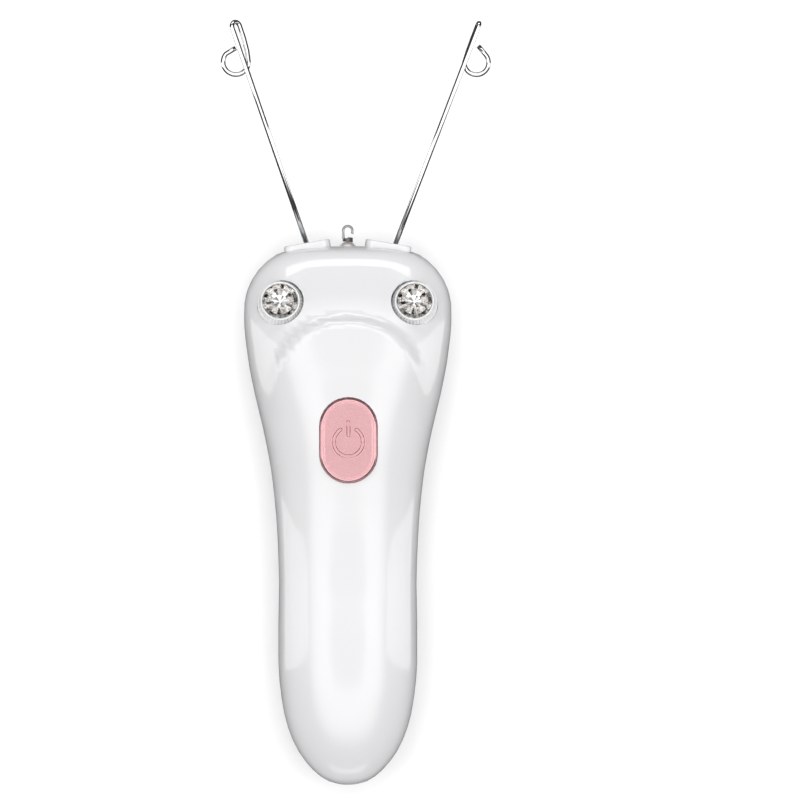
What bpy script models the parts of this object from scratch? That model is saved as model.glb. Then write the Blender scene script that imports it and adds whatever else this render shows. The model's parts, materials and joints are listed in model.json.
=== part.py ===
"""Electric threading epilator, lying on its back: two spring-wire arms swing in a V on the head.

Metres, +Z out of the front, +Y towards the arms, +X to the right of someone facing the front.
The origin is on the flat land of the back, at the foot of the head.
"""

import math

import bmesh
import bpy
import numpy as np
from mathutils import Matrix, Vector

for leftover in list(bpy.data.objects):
    bpy.data.objects.remove(leftover, do_unlink=True)

MM = 0.001

# ---------------------------------------------------------------- body
BODY_LENGTH = 135.1 * MM
BODY_WIDTH = 52.0 * MM
BODY_DEPTH = 32.6 * MM
PARTING_Z = 15.0 * MM
PARTING_GAP = 0.25 * MM
WALL = 2.0 * MM
TAIL_Y = -68.0 * MM
LAND_SINK = 0.5 * MM
FIT = 0.15 * MM

# ---------------------------------------------------------------- arms
WIRE_DIAMETER = 1.2 * MM
PIVOT_X = 6.0 * MM
PIVOT_FROM_TOP = 14.1 * MM
PIN_DIAMETER = 3.0 * MM
PIN_CLEARANCE = 0.08 * MM
HUB_DIAMETER = 8.4 * MM
LEVER_THICKNESS = 4.4 * MM
TAIL_LEVER_LENGTH = 16.0 * MM
LEVER_WIDTH = 3.0 * MM
SOCKET_LENGTH = 9.0 * MM
ARM_REACH = 68.9 * MM
TIP_RADIUS = 1.2 * MM
RETURN_BEHIND = WIRE_DIAMETER + 0.35 * MM
RETURN_LENGTH = 9.35 * MM
RING_TURN = 218.0
SLOT_X = 10.1 * MM
SLOT_WIDTH = 8.4 * MM
SLOT_HEIGHT = 3.6 * MM
SLOT_RIM = 1.6 * MM
SLOT_TILT = math.radians(9.7)

# ---------------------------------------------------------------- trim and button
STONE_DIAMETER = 8.5 * MM
STONE_X = 16.7 * MM
STONE_FROM_TOP = 14.55 * MM
STONE_TILT = math.radians(12.5)
COLLAR_BASE_DIAMETER = 11.4 * MM
COLLAR_Z = 25.0 * MM
BUTTON_WIDTH = 14.0 * MM
BUTTON_LENGTH = 20.9 * MM
BUTTON_FROM_TOP = 48.6 * MM
BUTTON_TOP_Z = 31.0 * MM
FLANGE_Z = 25.0 * MM
FLANGE_REACH = 0.8 * MM
BUTTON_TRAVEL = 0.8 * MM
BUTTON_GAP = 0.3 * MM
SYMBOL_RADIUS = 3.8 * MM
SYMBOL_LINE = 0.85 * MM
SYMBOL_DEPTH = 0.3 * MM

# ---------------------------------------------------------------- works
BATTERY_DIAMETER = 10.5 * MM
BATTERY_LENGTH = 44.5 * MM
BATTERY_GAP = 0.6 * MM
CONTACT_THICKNESS = 0.5 * MM
CONTACT_WIRE = 0.4 * MM
TRAY_START = 0.9 * MM
TRAY_WALL = 1.0 * MM
COVER_LENGTH = 52.0 * MM
COVER_WIDTH = 23.0 * MM
COVER_RECESS = 0.3 * MM
COVER_GAP = 0.25 * MM
MOTOR_DIAMETER = 12.0 * MM
MOTOR_LENGTH = 20.0 * MM
SHAFT_DIAMETER = 2.0 * MM
CAM_LONG = 2.6 * MM
CAM_SHORT = 1.9 * MM
CHASSIS_Z = 7.2 * MM
CHASSIS_THICKNESS = 1.5 * MM
KEEPER_THICKNESS = 1.4 * MM
BOARD_THICKNESS = 1.2 * MM
BOARD_TOP_Z = 22.5 * MM
SCREW_DIAMETER = 2.0 * MM
SCREW_HEAD_DIAMETER = 4.4 * MM
SCREW_HEAD_HEIGHT = 1.75 * MM
SCREW_SEAT_Z = 6.0 * MM
SCREW_TOP_Z = 21.4 * MM
POST_RADIUS = 2.6 * MM
BOSS_RADIUS = 3.2 * MM
# Each pair of case screws: how far in from the body's side, and how far down from the head's top.
CASE_SCREW_PLACES = [(8.4 * MM, 28.0 * MM), (7.45 * MM, 64.5 * MM)]
HOOK_WIRE = 0.62 * MM
HOOK_PULL = 2.0 * MM

HEAD_Y = TAIL_Y + BODY_LENGTH
HALF_WIDTH = BODY_WIDTH / 2


def from_top(distance):
    """Y of a point this far down from the head's top end."""
    return HEAD_Y - distance


# ---------------------------------------------------------------- scene, materials, collections
parts = bpy.data.collections.new("threading_epilator")
helpers = bpy.data.collections.new("cutters")
bpy.context.scene.collection.children.link(parts)
bpy.context.scene.collection.children.link(helpers)
helpers.hide_render = True


def finish(name, colour, metallic=0.0, roughness=0.4, alpha=1.0):
    """A Principled material of one colour."""
    made = bpy.data.materials.new(name)
    made.use_nodes = True
    shader = made.node_tree.nodes["Principled BSDF"]
    shader.inputs["Base Color"].default_value = (*colour, 1.0)
    shader.inputs["Metallic"].default_value = metallic
    shader.inputs["Roughness"].default_value = roughness
    shader.inputs["Alpha"].default_value = alpha
    made.diffuse_color = (*colour, alpha)
    return made


def add(name, data, look=None, pivot=None):
    """Links a piece of the product, with its origin on its joint axis if it has one."""
    piece = bpy.data.objects.new(name, data)
    parts.objects.link(piece)
    if look:
        data.materials.append(finish(name, *look))
    if pivot is not None:
        data.transform(Matrix.Translation(-Vector(pivot)))
        piece.location = pivot
    return piece


def mesh_from(bm, name, smooth=True):
    """Turns a bmesh into mesh data with faces outwards."""
    bmesh.ops.remove_doubles(bm, verts=bm.verts, dist=1e-6)
    bmesh.ops.recalc_face_normals(bm, faces=bm.faces)
    data = bpy.data.meshes.new(name)
    bm.to_mesh(data)
    bm.free()
    if smooth:
        for face in data.polygons:
            face.use_smooth = True
        data.set_sharp_from_angle(angle=math.radians(35))
    return data


def cutter(name, data):
    """A helper for a Boolean, kept out of renders."""
    tool = bpy.data.objects.new(name, data)
    helpers.objects.link(tool)
    tool.hide_render = True
    tool.display_type = "WIRE"
    return tool


def combine(piece, data, operation="DIFFERENCE"):
    """Cuts data away from a piece, or joins it on."""
    tool = cutter(f"{piece.name}_{operation.lower()}_{len(piece.modifiers)}", data)
    boolean = piece.modifiers.new(tool.name, "BOOLEAN")
    boolean.operation = operation
    boolean.solver = "EXACT"
    boolean.object = tool
    return boolean


# ---------------------------------------------------------------- shape helpers
def prism(name, outline, low, high, turn=None):
    """An outline in XY, run from low to high in Z, then turned into place by a matrix."""
    bm = bmesh.new()
    face = bm.faces.new([bm.verts.new((x, y, low)) for x, y in outline])
    run = bmesh.ops.extrude_face_region(bm, geom=[face])
    moved = [item for item in run["geom"] if isinstance(item, bmesh.types.BMVert)]
    bmesh.ops.translate(bm, verts=moved, vec=(0, 0, high - low))
    if turn is not None:
        bmesh.ops.transform(bm, matrix=turn, verts=bm.verts)
    return mesh_from(bm, name)


def box(name, low, high):
    """A block between two corners."""
    outline = [(low[0], low[1]), (high[0], low[1]), (high[0], high[1]), (low[0], high[1])]
    return prism(name, outline, low[2], high[2])


def arc(centre, radius, start, end, steps):
    """Points along an arc, angles in degrees."""
    return [
        (centre[0] + radius * math.cos(a), centre[1] + radius * math.sin(a))
        for a in np.radians(np.linspace(start, end, steps + 1))
    ]


def circle(centre, radius, steps=24):
    """The points of a full circle."""
    return arc(centre, radius, 0, 360, steps)[:-1]


def stadium(centre, width, height, steps=12):
    """A slot outline: round ends on its longer way."""
    if height >= width:
        radius, reach = width / 2, (height - width) / 2
        top = arc((centre[0], centre[1] + reach), radius, 0, 180, steps)
        low = arc((centre[0], centre[1] - reach), radius, 180, 360, steps)
        return top + low
    radius, reach = height / 2, (width - height) / 2
    right = arc((centre[0] + reach, centre[1]), radius, -90, 90, steps)
    left = arc((centre[0] - reach, centre[1]), radius, 90, 270, steps)
    return right + left


def round_box(centre, width, height, radius, steps=4):
    """A rectangle with round corners."""
    across, up = width / 2 - radius, height / 2 - radius
    points = []
    for quarter, (sx, sy) in enumerate([(1, 1), (-1, 1), (-1, -1), (1, -1)]):
        middle = (centre[0] + sx * across, centre[1] + sy * up)
        points += arc(middle, radius, 90 * quarter, 90 * quarter + 90, steps)
    return points


def turned(name, profile, steps=32, turn=None):
    """A profile of (radius, height) from the axis out and back to it, spun about Z."""
    bm = bmesh.new()
    verts = [bm.verts.new((r, 0, h)) for r, h in profile]
    edges = [bm.edges.new(pair) for pair in zip(verts, verts[1:])]
    if profile[0][0] > 0:
        edges.append(bm.edges.new((verts[-1], verts[0])))
    bmesh.ops.spin(
        bm,
        geom=verts + edges,
        cent=(0, 0, 0),
        axis=(0, 0, 1),
        angle=math.tau,
        steps=steps,
        use_merge=True,
    )
    if turn is not None:
        bmesh.ops.transform(bm, matrix=turn, verts=bm.verts)
    return mesh_from(bm, name)


def wire(name, path, diameter, look, pivot=None, sides=2):
    """A round wire along a path, with closed ends."""
    data = bpy.data.curves.new(name, "CURVE")
    data.dimensions = "3D"
    data.bevel_depth = diameter / 2
    data.bevel_resolution = sides
    data.use_fill_caps = True
    spline = data.splines.new("POLY")
    spline.points.add(len(path) - 1)
    for point, place in zip(spline.points, path):
        point.co = (*place, 1.0)
    return add(name, data, look, pivot)


AXIS_Y = Matrix.Rotation(math.radians(-90), 4, "X")


def moved(x, y, z, *turns):
    """A placing matrix: the turns first, then the move."""
    matrix = Matrix.Translation((x, y, z))
    for turn in turns:
        matrix = matrix @ turn
    return matrix


# ---------------------------------------------------------------- body surface
# Each profile is (part of the body's length from the tail, value), read along a smooth curve.
WIDTH_PROFILE = [
    (0.0, 0.0), (0.0074, 0.19), (0.03, 0.346), (0.063, 0.477), (0.107, 0.577), (0.152, 0.631),
    (0.23, 0.669), (0.31, 0.669), (0.363, 0.662), (0.46, 0.677), (0.574, 0.731), (0.662, 0.817),
    (0.729, 0.9), (0.796, 0.965), (0.862, 0.999), (0.896, 0.996), (0.929, 0.946),
    (0.951, 0.88), (0.973, 0.77), (0.992, 0.585), (1.0, 0.0),
]
FRONT_PROFILE = [
    (0.0, 0.0), (0.0074, 0.23), (0.03, 0.38), (0.063, 0.51), (0.12, 0.64), (0.2, 0.725),
    (0.28, 0.745), (0.385, 0.69), (0.46, 0.715), (0.56, 0.79), (0.64, 0.872), (0.73, 0.925),
    (0.8, 0.93), (0.86, 0.86), (0.9, 0.765), (0.94, 0.625), (0.97, 0.5), (0.99, 0.36), (1.0, 0.0),
]
PANEL_PROFILE = [(0.0, 0.9), (0.7, 0.925), (0.78, 0.965), (0.86, 1.0), (1.0, 1.0)]
BACK_PROFILE = [
    (0.0, 0.0), (0.0074, 0.27), (0.03, 0.52), (0.06, 0.77), (0.1, 0.96), (0.13, 1.0), (0.9, 1.0),
    (0.94, 0.92), (0.965, 0.77), (0.985, 0.55), (1.0, 0.0),
]
TONGUE_HALF_WIDTH = 0.7
TONGUE_START = 0.725
TONGUE_LENGTH = 0.133


def along(fraction):
    """Stretches both ends of the body, so that a profile rounds off to a point there."""
    return math.acos(max(-1.0, min(1.0, 1 - 2 * fraction)))


def read(profile, fraction):
    """Monotone cubic through the profile's points, after the stretch."""
    xs = np.array([along(point[0]) for point in profile])
    ys = np.array([point[1] for point in profile])
    steps = np.diff(xs)
    slopes = np.diff(ys) / steps
    tangents = np.zeros(len(xs))
    for i in range(1, len(xs) - 1):
        if slopes[i - 1] * slopes[i] > 0:
            left, right = 2 * steps[i] + steps[i - 1], steps[i] + 2 * steps[i - 1]
            tangents[i] = (left + right) / (left / slopes[i - 1] + right / slopes[i])
    tangents[0], tangents[-1] = slopes[0], slopes[-1]
    at = along(fraction)
    i = int(np.clip(np.searchsorted(xs, at) - 1, 0, len(steps) - 1))
    t = (at - xs[i]) / steps[i]
    near = ys[i] * (1 + 2 * t) * (1 - t) ** 2 + tangents[i] * steps[i] * t * (1 - t) ** 2
    far = ys[i + 1] * t * t * (3 - 2 * t) + tangents[i + 1] * steps[i] * t * t * (t - 1)
    return near + far


def ease(low, high, value):
    """0 below low, 1 above high and a smooth step between."""
    t = max(0.0, min(1.0, (value - low) / (high - low)))
    return t * t * (3 - 2 * t)


def bow(share, power):
    """Height of a rounded section at this share of its half-width."""
    return max(0.0, 1 - min(1.0, abs(share)) ** power) ** (1 / power)


def front_height(share, fraction):
    """Height of the front above the parting, as a part of the full height."""
    base = read(FRONT_PROFILE, fraction) * bow(share, 2.4)
    grow = ease(0.66, 0.8, fraction)
    if grow == 0.0:
        return base
    panel = max(read(PANEL_PROFILE, fraction), read(FRONT_PROFILE, fraction)) * bow(share, 3.0)
    across = abs(share) * read(WIDTH_PROFILE, fraction) / TONGUE_HALF_WIDTH
    up = max(0.0, fraction - TONGUE_START) / TONGUE_LENGTH
    reach = (across**2.2 + up**2.2) ** (1 / 2.2)
    raised = grow * (1 - ease(0.95, 1.12, reach))
    return base + (panel - base) * raised


def section(fraction, upper, inset, count):
    """One ring of points across the body, (x, z), for its upper or its lower half."""
    half = read(WIDTH_PROFILE, fraction) * HALF_WIDTH
    half *= 1 - inset / max(half, 4 * WALL)
    ring = []
    for a in np.linspace(0, math.pi, count + 1):
        share = math.copysign(abs(math.cos(a)) ** (2 / 2.4), math.cos(a))
        if upper:
            rise = front_height(share, fraction) * (BODY_DEPTH - PARTING_Z)
            crown = read(FRONT_PROFILE, fraction) * (BODY_DEPTH - PARTING_Z)
            rise *= 1 - inset / max(crown, 4 * WALL)
            ring.append((share * half, PARTING_Z + rise))
        else:
            sink = read(BACK_PROFILE, fraction) * (PARTING_Z + LAND_SINK)
            drop = sink * bow(share, 2.8)
            drop = min(drop, PARTING_Z) * (1 - inset / max(sink, 4 * WALL))
            ring.append((share * half, PARTING_Z - drop))
    return ring


def half_width(y):
    """Half of the body's width at this place along it."""
    return read(WIDTH_PROFILE, (y - TAIL_Y) / BODY_LENGTH) * HALF_WIDTH


def front_z(x, y):
    """Height of the body's front above the back land at this place."""
    fraction = (y - TAIL_Y) / BODY_LENGTH
    return PARTING_Z + front_height(x / half_width(y), fraction) * (BODY_DEPTH - PARTING_Z)


def hollow_floor(x, y):
    """Height of the hollow's back above the back land at this place."""
    fraction = (y - TAIL_Y - WALL) / (BODY_LENGTH - 2 * WALL)
    ring = sorted(section(fraction, False, WALL, 36))
    return np.interp(x, [point[0] for point in ring], [point[1] for point in ring])


def stations(spacing, crease):
    """Places along the body where a section is taken, closer together at the crease."""
    places = [0.0006]
    places += [(1 - math.cos(a)) / 2 for a in np.linspace(0, math.pi, spacing + 1)[1:-1]]
    places += [0.9992]
    if crease:
        places = [p for p in places if not 0.72 < p < 0.885] + list(np.linspace(0.724, 0.881, 17))
    return sorted(places)


def half_body(name, upper, inset, count, spacing, crease):
    """The upper or lower half of the body as one closed solid, shrunk by an inset."""
    edge = PARTING_Z + (PARTING_GAP / 2 if upper else -PARTING_GAP / 2)
    if inset:
        edge = PARTING_Z - (0.5 * MM if upper else -0.5 * MM)
    bm = bmesh.new()
    rings = []
    for place in stations(spacing, crease):
        y = TAIL_Y + inset + place * (BODY_LENGTH - 2 * inset)
        ring = []
        for x, z in section(place, upper, inset, count):
            ring.append(bm.verts.new((x, y, max(z, edge) if upper else min(z, edge))))
        ring[0].co.z = ring[-1].co.z = edge
        rings.append(ring)
    for near, far in zip(rings, rings[1:]):
        for i in range(len(near)):
            j = (i + 1) % len(near)
            bm.faces.new((near[i], near[j], far[j], far[i]))
    bm.faces.new(rings[0])
    bm.faces.new(rings[-1])
    return mesh_from(bm, name)


# ---------------------------------------------------------------- finishes
WHITE = ((0.86, 0.87, 0.88), 0.0, 0.25)
INNER = ((0.62, 0.63, 0.65), 0.0, 0.5)
CHROME = ((0.75, 0.75, 0.76), 1.0, 0.12)
STEEL = ((0.55, 0.55, 0.57), 1.0, 0.35)
DARK = ((0.05, 0.05, 0.055), 0.0, 0.5)
PINK = ((0.85, 0.5, 0.5), 1.0, 0.25)
CLEAR = ((0.85, 0.86, 0.88), 0.0, 0.02, 0.6)
BOARD = ((0.03, 0.2, 0.08), 0.0, 0.5)

# ---------------------------------------------------------------- shells
front_shell = add("front_shell", half_body("front_outer", True, 0.0, 36, 38, True), WHITE)
back_shell = add("back_shell", half_body("back_outer", False, 0.0, 26, 36, False), WHITE)
combine(front_shell, half_body("front_hollow", True, WALL, 18, 26, False))
combine(back_shell, half_body("back_hollow", False, WALL, 18, 26, False))

case_screws = [
    (side * (half_width(from_top(depth)) - gap), from_top(depth))
    for gap, depth in CASE_SCREW_PLACES
    for side in (-1, 1)
]
for x, y in case_screws:
    rim = circle((x, y), POST_RADIUS, 16)
    post_top = min(front_z(*spot) for spot in rim) - 0.4 * WALL
    post = prism("post", rim, PARTING_Z + 0.2 * MM, post_top)
    combine(front_shell, post, "UNION")
    pilot = circle((x, y), SCREW_DIAMETER / 2 + 0.1 * MM, 12)
    combine(front_shell, prism("pilot", pilot, PARTING_Z - MM, SCREW_TOP_Z + 0.3 * MM))
    boss_low = SCREW_SEAT_Z - SCREW_HEAD_HEIGHT
    boss = prism("boss", circle((x, y), BOSS_RADIUS, 16), boss_low, PARTING_Z - 0.2 * MM)
    combine(back_shell, boss, "UNION")
    bore = circle((x, y), SCREW_DIAMETER / 2 + 0.2 * MM, 12)
    combine(back_shell, prism("bore", bore, 3 * MM, PARTING_Z + MM))
    seat = circle((x, y), SCREW_HEAD_DIAMETER / 2 + FIT, 20)
    combine(back_shell, prism("seat", seat, -MM, SCREW_SEAT_Z))

# Four short pillars under the chassis.
for x in (-9.0 * MM, 9.0 * MM):
    for y in (from_top(20.0 * MM), from_top(58.0 * MM)):
        foot = prism("foot", circle((x, y), 1.8 * MM, 12), 1 * MM, CHASSIS_Z - 0.1 * MM)
        combine(back_shell, foot, "UNION")

# ---------------------------------------------------------------- slot rims on the head's end
SLOT_Y = from_top(0.4 * MM)
for side, label in ((-1, "left"), (1, "right")):
    tilt = Matrix.Rotation(-side * SLOT_TILT, 4, "Z")
    place = moved(side * SLOT_X, SLOT_Y, PARTING_Z, tilt, AXIS_Y)
    outer = (SLOT_WIDTH + 2 * SLOT_RIM, SLOT_HEIGHT + 2 * SLOT_RIM)
    for shell in (front_shell, back_shell):
        room = round_box((0, 0), outer[0] + 2 * FIT, outer[1] + 2 * FIT, 2.2 * MM)
        combine(shell, prism("slot_room", room, -12 * MM, 6 * MM, place))
    rim_outline = round_box((0, 0), *outer, 2.05 * MM)
    rim = add(f"slot_rim_{label}", prism("rim", rim_outline, -4.4 * MM, 1.2 * MM, place), WHITE)
    hole = round_box((0, 0), SLOT_WIDTH, SLOT_HEIGHT, 1.2 * MM)
    combine(rim, prism("slot", hole, -6 * MM, 3 * MM, place))
    soften = rim.modifiers.new("soft_edge", "BEVEL")
    soften.width = 0.35 * MM
    soften.segments = 2
    soften.limit_method = "ANGLE"
    soften.angle_limit = math.radians(60)

# ---------------------------------------------------------------- stones in their collars
for side, label in ((-1, "left"), (1, "right")):
    lean = Matrix.Rotation(-STONE_TILT, 4, "X")
    place = moved(side * STONE_X, from_top(STONE_FROM_TOP), COLLAR_Z, lean)
    base, seat = COLLAR_BASE_DIAMETER / 2, STONE_DIAMETER / 2
    steps = [
        (0, -4.6 * MM), (base, -4.6 * MM), (base, -0.8 * MM), (seat + 0.5 * MM, 3.1 * MM),
        (seat + 0.35 * MM, 3.3 * MM), (seat + 0.15 * MM, 3.3 * MM), (seat + 0.12 * MM, 2.5 * MM),
        (1.0 * MM, -0.3 * MM), (0, -0.3 * MM),
    ]
    collar = turned("collar", steps, 36, place)
    add(f"stone_collar_{label}", collar, WHITE)
    hole = prism("hole", circle((0, 0), base + FIT, 36), -5.4 * MM, 8 * MM, place)
    combine(front_shell, hole)

    bm = bmesh.new()
    rings = [(0.8, 0.05, 16, 0), (seat / MM, 2.62, 16, 0), (seat / MM, 2.95, 16, 0)]
    rings += [(3.55, 3.5, 8, 0.5), (2.9, 3.95, 8, 0), (2.3, 4.2, 8, 0.5)]
    for radius, height, count, skew in rings:
        for i in range(count):
            a = math.tau * (i + skew) / count
            spot = (radius * math.cos(a) * MM, radius * math.sin(a) * MM, height * MM)
            bm.verts.new(spot)
    bmesh.ops.convex_hull(bm, input=bm.verts)
    bmesh.ops.transform(bm, matrix=place, verts=bm.verts)
    add(f"stone_{label}", mesh_from(bm, "stone", smooth=False), CLEAR)

# ---------------------------------------------------------------- power button
button_at = (0.3 * MM, from_top(BUTTON_FROM_TOP))
room = stadium(button_at, BUTTON_WIDTH + 2 * BUTTON_GAP, BUTTON_LENGTH + 2 * BUTTON_GAP, 16)
combine(front_shell, prism("button_room", room, 20 * MM, 40 * MM))
cap = stadium(button_at, BUTTON_WIDTH, BUTTON_LENGTH, 16)
button_pivot = (*button_at, FLANGE_Z)
power_button = add(
    "power_button", prism("cap", cap, FLANGE_Z, BUTTON_TOP_Z), PINK, button_pivot
)
edge = power_button.modifiers.new("chamfer", "BEVEL")
edge.width = 0.6 * MM
edge.segments = 2
edge.limit_method = "ANGLE"
edge.angle_limit = math.radians(60)
flange_size = (BUTTON_WIDTH + 2 * FLANGE_REACH, BUTTON_LENGTH + 2 * FLANGE_REACH)
flange = stadium(button_at, *flange_size, 12)
combine(power_button, prism("flange", flange, FLANGE_Z + 0.1 * MM, FLANGE_Z + 1.1 * MM), "UNION")
symbol_at = (button_at[0], button_at[1] - 0.4 * MM)
outside = arc(symbol_at, SYMBOL_RADIUS + SYMBOL_LINE / 2, 121, 419, 28)
inside = arc(symbol_at, SYMBOL_RADIUS - SYMBOL_LINE / 2, 419, 121, 28)
symbol_z = (BUTTON_TOP_Z - SYMBOL_DEPTH, BUTTON_TOP_Z + MM)
combine(power_button, prism("ring", outside + inside, *symbol_z))
bar_at = (symbol_at[0], symbol_at[1] + 3.55 * MM)
combine(power_button, prism("bar", stadium(bar_at, 1.0 * MM, 4.4 * MM, 4), *symbol_z))

plunger_z = FLANGE_Z - 0.1 * MM
plunger_mesh = prism("plunger", circle(button_at, 1.5 * MM, 20), BOARD_TOP_Z + 1.0 * MM, plunger_z)
add("switch_plunger", plunger_mesh, DARK, (*button_at, plunger_z))
body_low = (button_at[0] - 3 * MM, button_at[1] - 3 * MM, BOARD_TOP_Z + 0.05 * MM)
body_high = (button_at[0] + 3 * MM, button_at[1] + 3 * MM, BOARD_TOP_Z + 1.6 * MM)
switch_body = add("switch_body", box("switch", body_low, body_high), STEEL)
well = prism("well", circle(button_at, 1.7 * MM, 20), BOARD_TOP_Z - MM, BOARD_TOP_Z + 3 * MM)
combine(switch_body, well)

board_outline = round_box((0, button_at[1] + 0.4 * MM), 20.4 * MM, 25.6 * MM, 2.0 * MM)
board_low = BOARD_TOP_Z - BOARD_THICKNESS
circuit_board = add("circuit_board", prism("board", board_outline, board_low, BOARD_TOP_Z), BOARD)
for i, (x, y) in enumerate([(-8.2 * MM, 11.3 * MM), (8.2 * MM, -11.3 * MM)]):
    spot = (x, button_at[1] + y)
    combine(circuit_board, prism("hole", circle(spot, 0.95 * MM, 12), 20 * MM, 24 * MM))
    post = circle(spot, 1.9 * MM, 12)
    post_top = front_z(*spot) - 0.5 * WALL
    combine(front_shell, prism("board_post", post, BOARD_TOP_Z + 0.1 * MM, post_top), "UNION")
    combine(front_shell, prism("thread", circle(spot, 0.85 * MM, 12), 20 * MM, 26.6 * MM))
    profile = [(0, 20.0 * MM), (1.5 * MM, 20.0 * MM), (1.5 * MM, 21.2 * MM), (0.75 * MM, 21.2 * MM)]
    profile += [(0.75 * MM, 26.2 * MM), (0, 26.2 * MM)]
    add(f"board_screw_{i + 1}", turned("screw", profile, 12, moved(*spot, 0)), STEEL)

# ---------------------------------------------------------------- chassis, pivots and levers
pivot_y = from_top(PIVOT_FROM_TOP)
chassis_top = CHASSIS_Z + CHASSIS_THICKNESS
chassis_outline = [(7.2, 65.5), (7.2, 59.5), (12.5, 52.0), (12.8, 34.0), (13.0, 12.0), (10.5, 8.0)]
chassis_points = [(x * MM, from_top(d * MM)) for x, d in chassis_outline]
chassis_points += [(-x, y) for x, y in reversed(chassis_points)]
chassis_mesh = prism("chassis", chassis_points, CHASSIS_Z, chassis_top)
chassis = add("chassis", chassis_mesh, INNER)

lever_low = PARTING_Z - LEVER_THICKNESS / 2
lever_high = PARTING_Z + LEVER_THICKNESS / 2
keeper_low = lever_high + 0.25 * MM
pin_radius = PIN_DIAMETER / 2
keeper_outline = stadium((0, pivot_y), 2 * PIVOT_X + 9.0 * MM, 7.6 * MM, 10)
keeper_mesh = prism("keeper", keeper_outline, keeper_low, keeper_low + KEEPER_THICKNESS)
pivot_keeper = add("pivot_keeper", keeper_mesh, STEEL)

# Each arm as bent by hand: its angle from the body's axis, where its line crosses the level of the
# pivots, how far inside its return leg runs at the top and at the bottom, and where its end stops.
ARMS = {
    "left": {
        "side": -1, "angle": math.radians(19.0), "start": 5.24 * MM, "ring": 3.2 * MM,
        "inside": (1.9 * MM, 1.05 * MM), "end": (0.0 * MM, 3.5 * MM),
    },
    "right": {
        "side": 1, "angle": math.radians(20.9), "start": 6.37 * MM, "ring": 3.05 * MM,
        "inside": (0.35 * MM, 0.1 * MM), "end": (0.45 * MM, 4.2 * MM),
    },
}


def arm_path(side, angle, start, ring, inside, end):
    """The arm's wire: out straight, round the tip, back behind itself and into an open ring."""
    def spot(out, off, back):
        x = start + out * math.sin(angle) - off * math.cos(angle)
        y = pivot_y + out * math.cos(angle) + off * math.sin(angle)
        return (side * x, y, PARTING_Z - back)

    straight = ARM_REACH / math.cos(angle)
    points = [spot(out, 0, 0) for out in np.linspace(5.2 * MM, straight, 5)]
    for a in np.linspace(0, math.pi, 10)[1:]:
        share = (1 - math.cos(a)) / 2
        out = straight + TIP_RADIUS * math.sin(a)
        points.append(spot(out, inside[0] * share, RETURN_BEHIND * share))
    down = straight - RETURN_LENGTH
    for t in (0.35, 0.7):
        off = inside[0] + (inside[1] - inside[0]) * t**3
        points.append(spot(straight + (down - straight) * t, off, RETURN_BEHIND))
    entry = spot(down, inside[1], RETURN_BEHIND)
    middle = (entry[0] + side * ring, entry[1])
    for a in np.radians(np.linspace(0, RING_TURN, 22)):
        x = middle[0] - side * ring * math.cos(a)
        points.append((x, middle[1] - ring * math.sin(a), entry[2]))
    last, stop = points[-1], (middle[0] + side * end[0], middle[1] + end[1], entry[2])
    for t in (0.5, 1.0):
        points.append(tuple(near + (far - near) * t for near, far in zip(last, stop)))
    return points


for label, arm in ARMS.items():
    side = arm["side"]
    pivot = (side * PIVOT_X, pivot_y)
    axis = (*pivot, PARTING_Z)
    pin = prism("pin", circle(pivot, pin_radius, 24), chassis_top - MM, keeper_low + 1.3 * MM)
    add(f"pivot_pin_{label}", pin, STEEL)
    seat = prism("pin_seat", circle(pivot, pin_radius + 0.05 * MM, 24), CHASSIS_Z + 0.45 * MM, 10 * MM)
    combine(chassis, seat)
    seat = prism("pin_seat", circle(pivot, pin_radius + 0.05 * MM, 24), 15 * MM, 25 * MM)
    combine(pivot_keeper, seat)

    hub = prism("hub", circle(pivot, HUB_DIAMETER / 2, 32), lever_low, lever_high)
    lever = add(f"arm_lever_{label}", hub, DARK, axis)
    half = LEVER_WIDTH / 2
    tail_low = (pivot[0] - half, pivot_y - TAIL_LEVER_LENGTH, lever_low + 0.5 * MM)
    tail_high = (pivot[0] + half, pivot_y, lever_high - 0.5 * MM)
    combine(lever, box("tail", tail_low, tail_high), "UNION")
    along_wire = Matrix.Rotation(-side * arm["angle"], 4, "Z")
    place = moved(side * arm["start"], pivot_y, PARTING_Z, along_wire, AXIS_Y)
    socket = round_box((0, 0), 3.4 * MM, LEVER_THICKNESS - 0.6 * MM, 0.8 * MM)
    combine(lever, prism("socket", socket, MM, SOCKET_LENGTH, place), "UNION")
    bore = circle(pivot, pin_radius + PIN_CLEARANCE, 32)
    combine(lever, prism("bore", bore, 5 * MM, 25 * MM))
    hole = circle((0, 0), WIRE_DIAMETER / 2 + 0.07 * MM, 16)
    combine(lever, prism("wire_hole", hole, 5.0 * MM, 20 * MM, place))
    path = arm_path(**arm)
    wire(f"arm_wire_{label}", path, WIRE_DIAMETER, CHROME, axis, 3)

# ---------------------------------------------------------------- motor and cam between the tails
cam_y = pivot_y - TAIL_LEVER_LENGTH + 2.0 * MM
motor_top = cam_y - 4.5 * MM
motor_radius = MOTOR_DIAMETER / 2
motor_profile = [
    (0, -MOTOR_LENGTH), (2.0 * MM, -MOTOR_LENGTH), (2.0 * MM, -MOTOR_LENGTH + 0.6 * MM),
    (motor_radius - 0.6 * MM, -MOTOR_LENGTH + 0.6 * MM), (motor_radius, -MOTOR_LENGTH + 1.2 * MM),
    (motor_radius, -0.5 * MM), (motor_radius - 0.5 * MM, 0), (2.4 * MM, 0), (2.4 * MM, 1.0 * MM),
    (0, 1.0 * MM),
]
motor_z = chassis_top + 0.3 * MM + motor_radius
motor_place = moved(0, motor_top, motor_z, AXIS_Y)
motor = add("motor", turned("motor", motor_profile, 32, motor_place), STEEL)
shaft_radius = SHAFT_DIAMETER / 2
well = prism("well", circle((0, 0), shaft_radius + 0.08 * MM, 24), -6 * MM, 3 * MM, motor_place)
combine(motor, well)
shaft_axis = (0, motor_top, motor_z)
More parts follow.
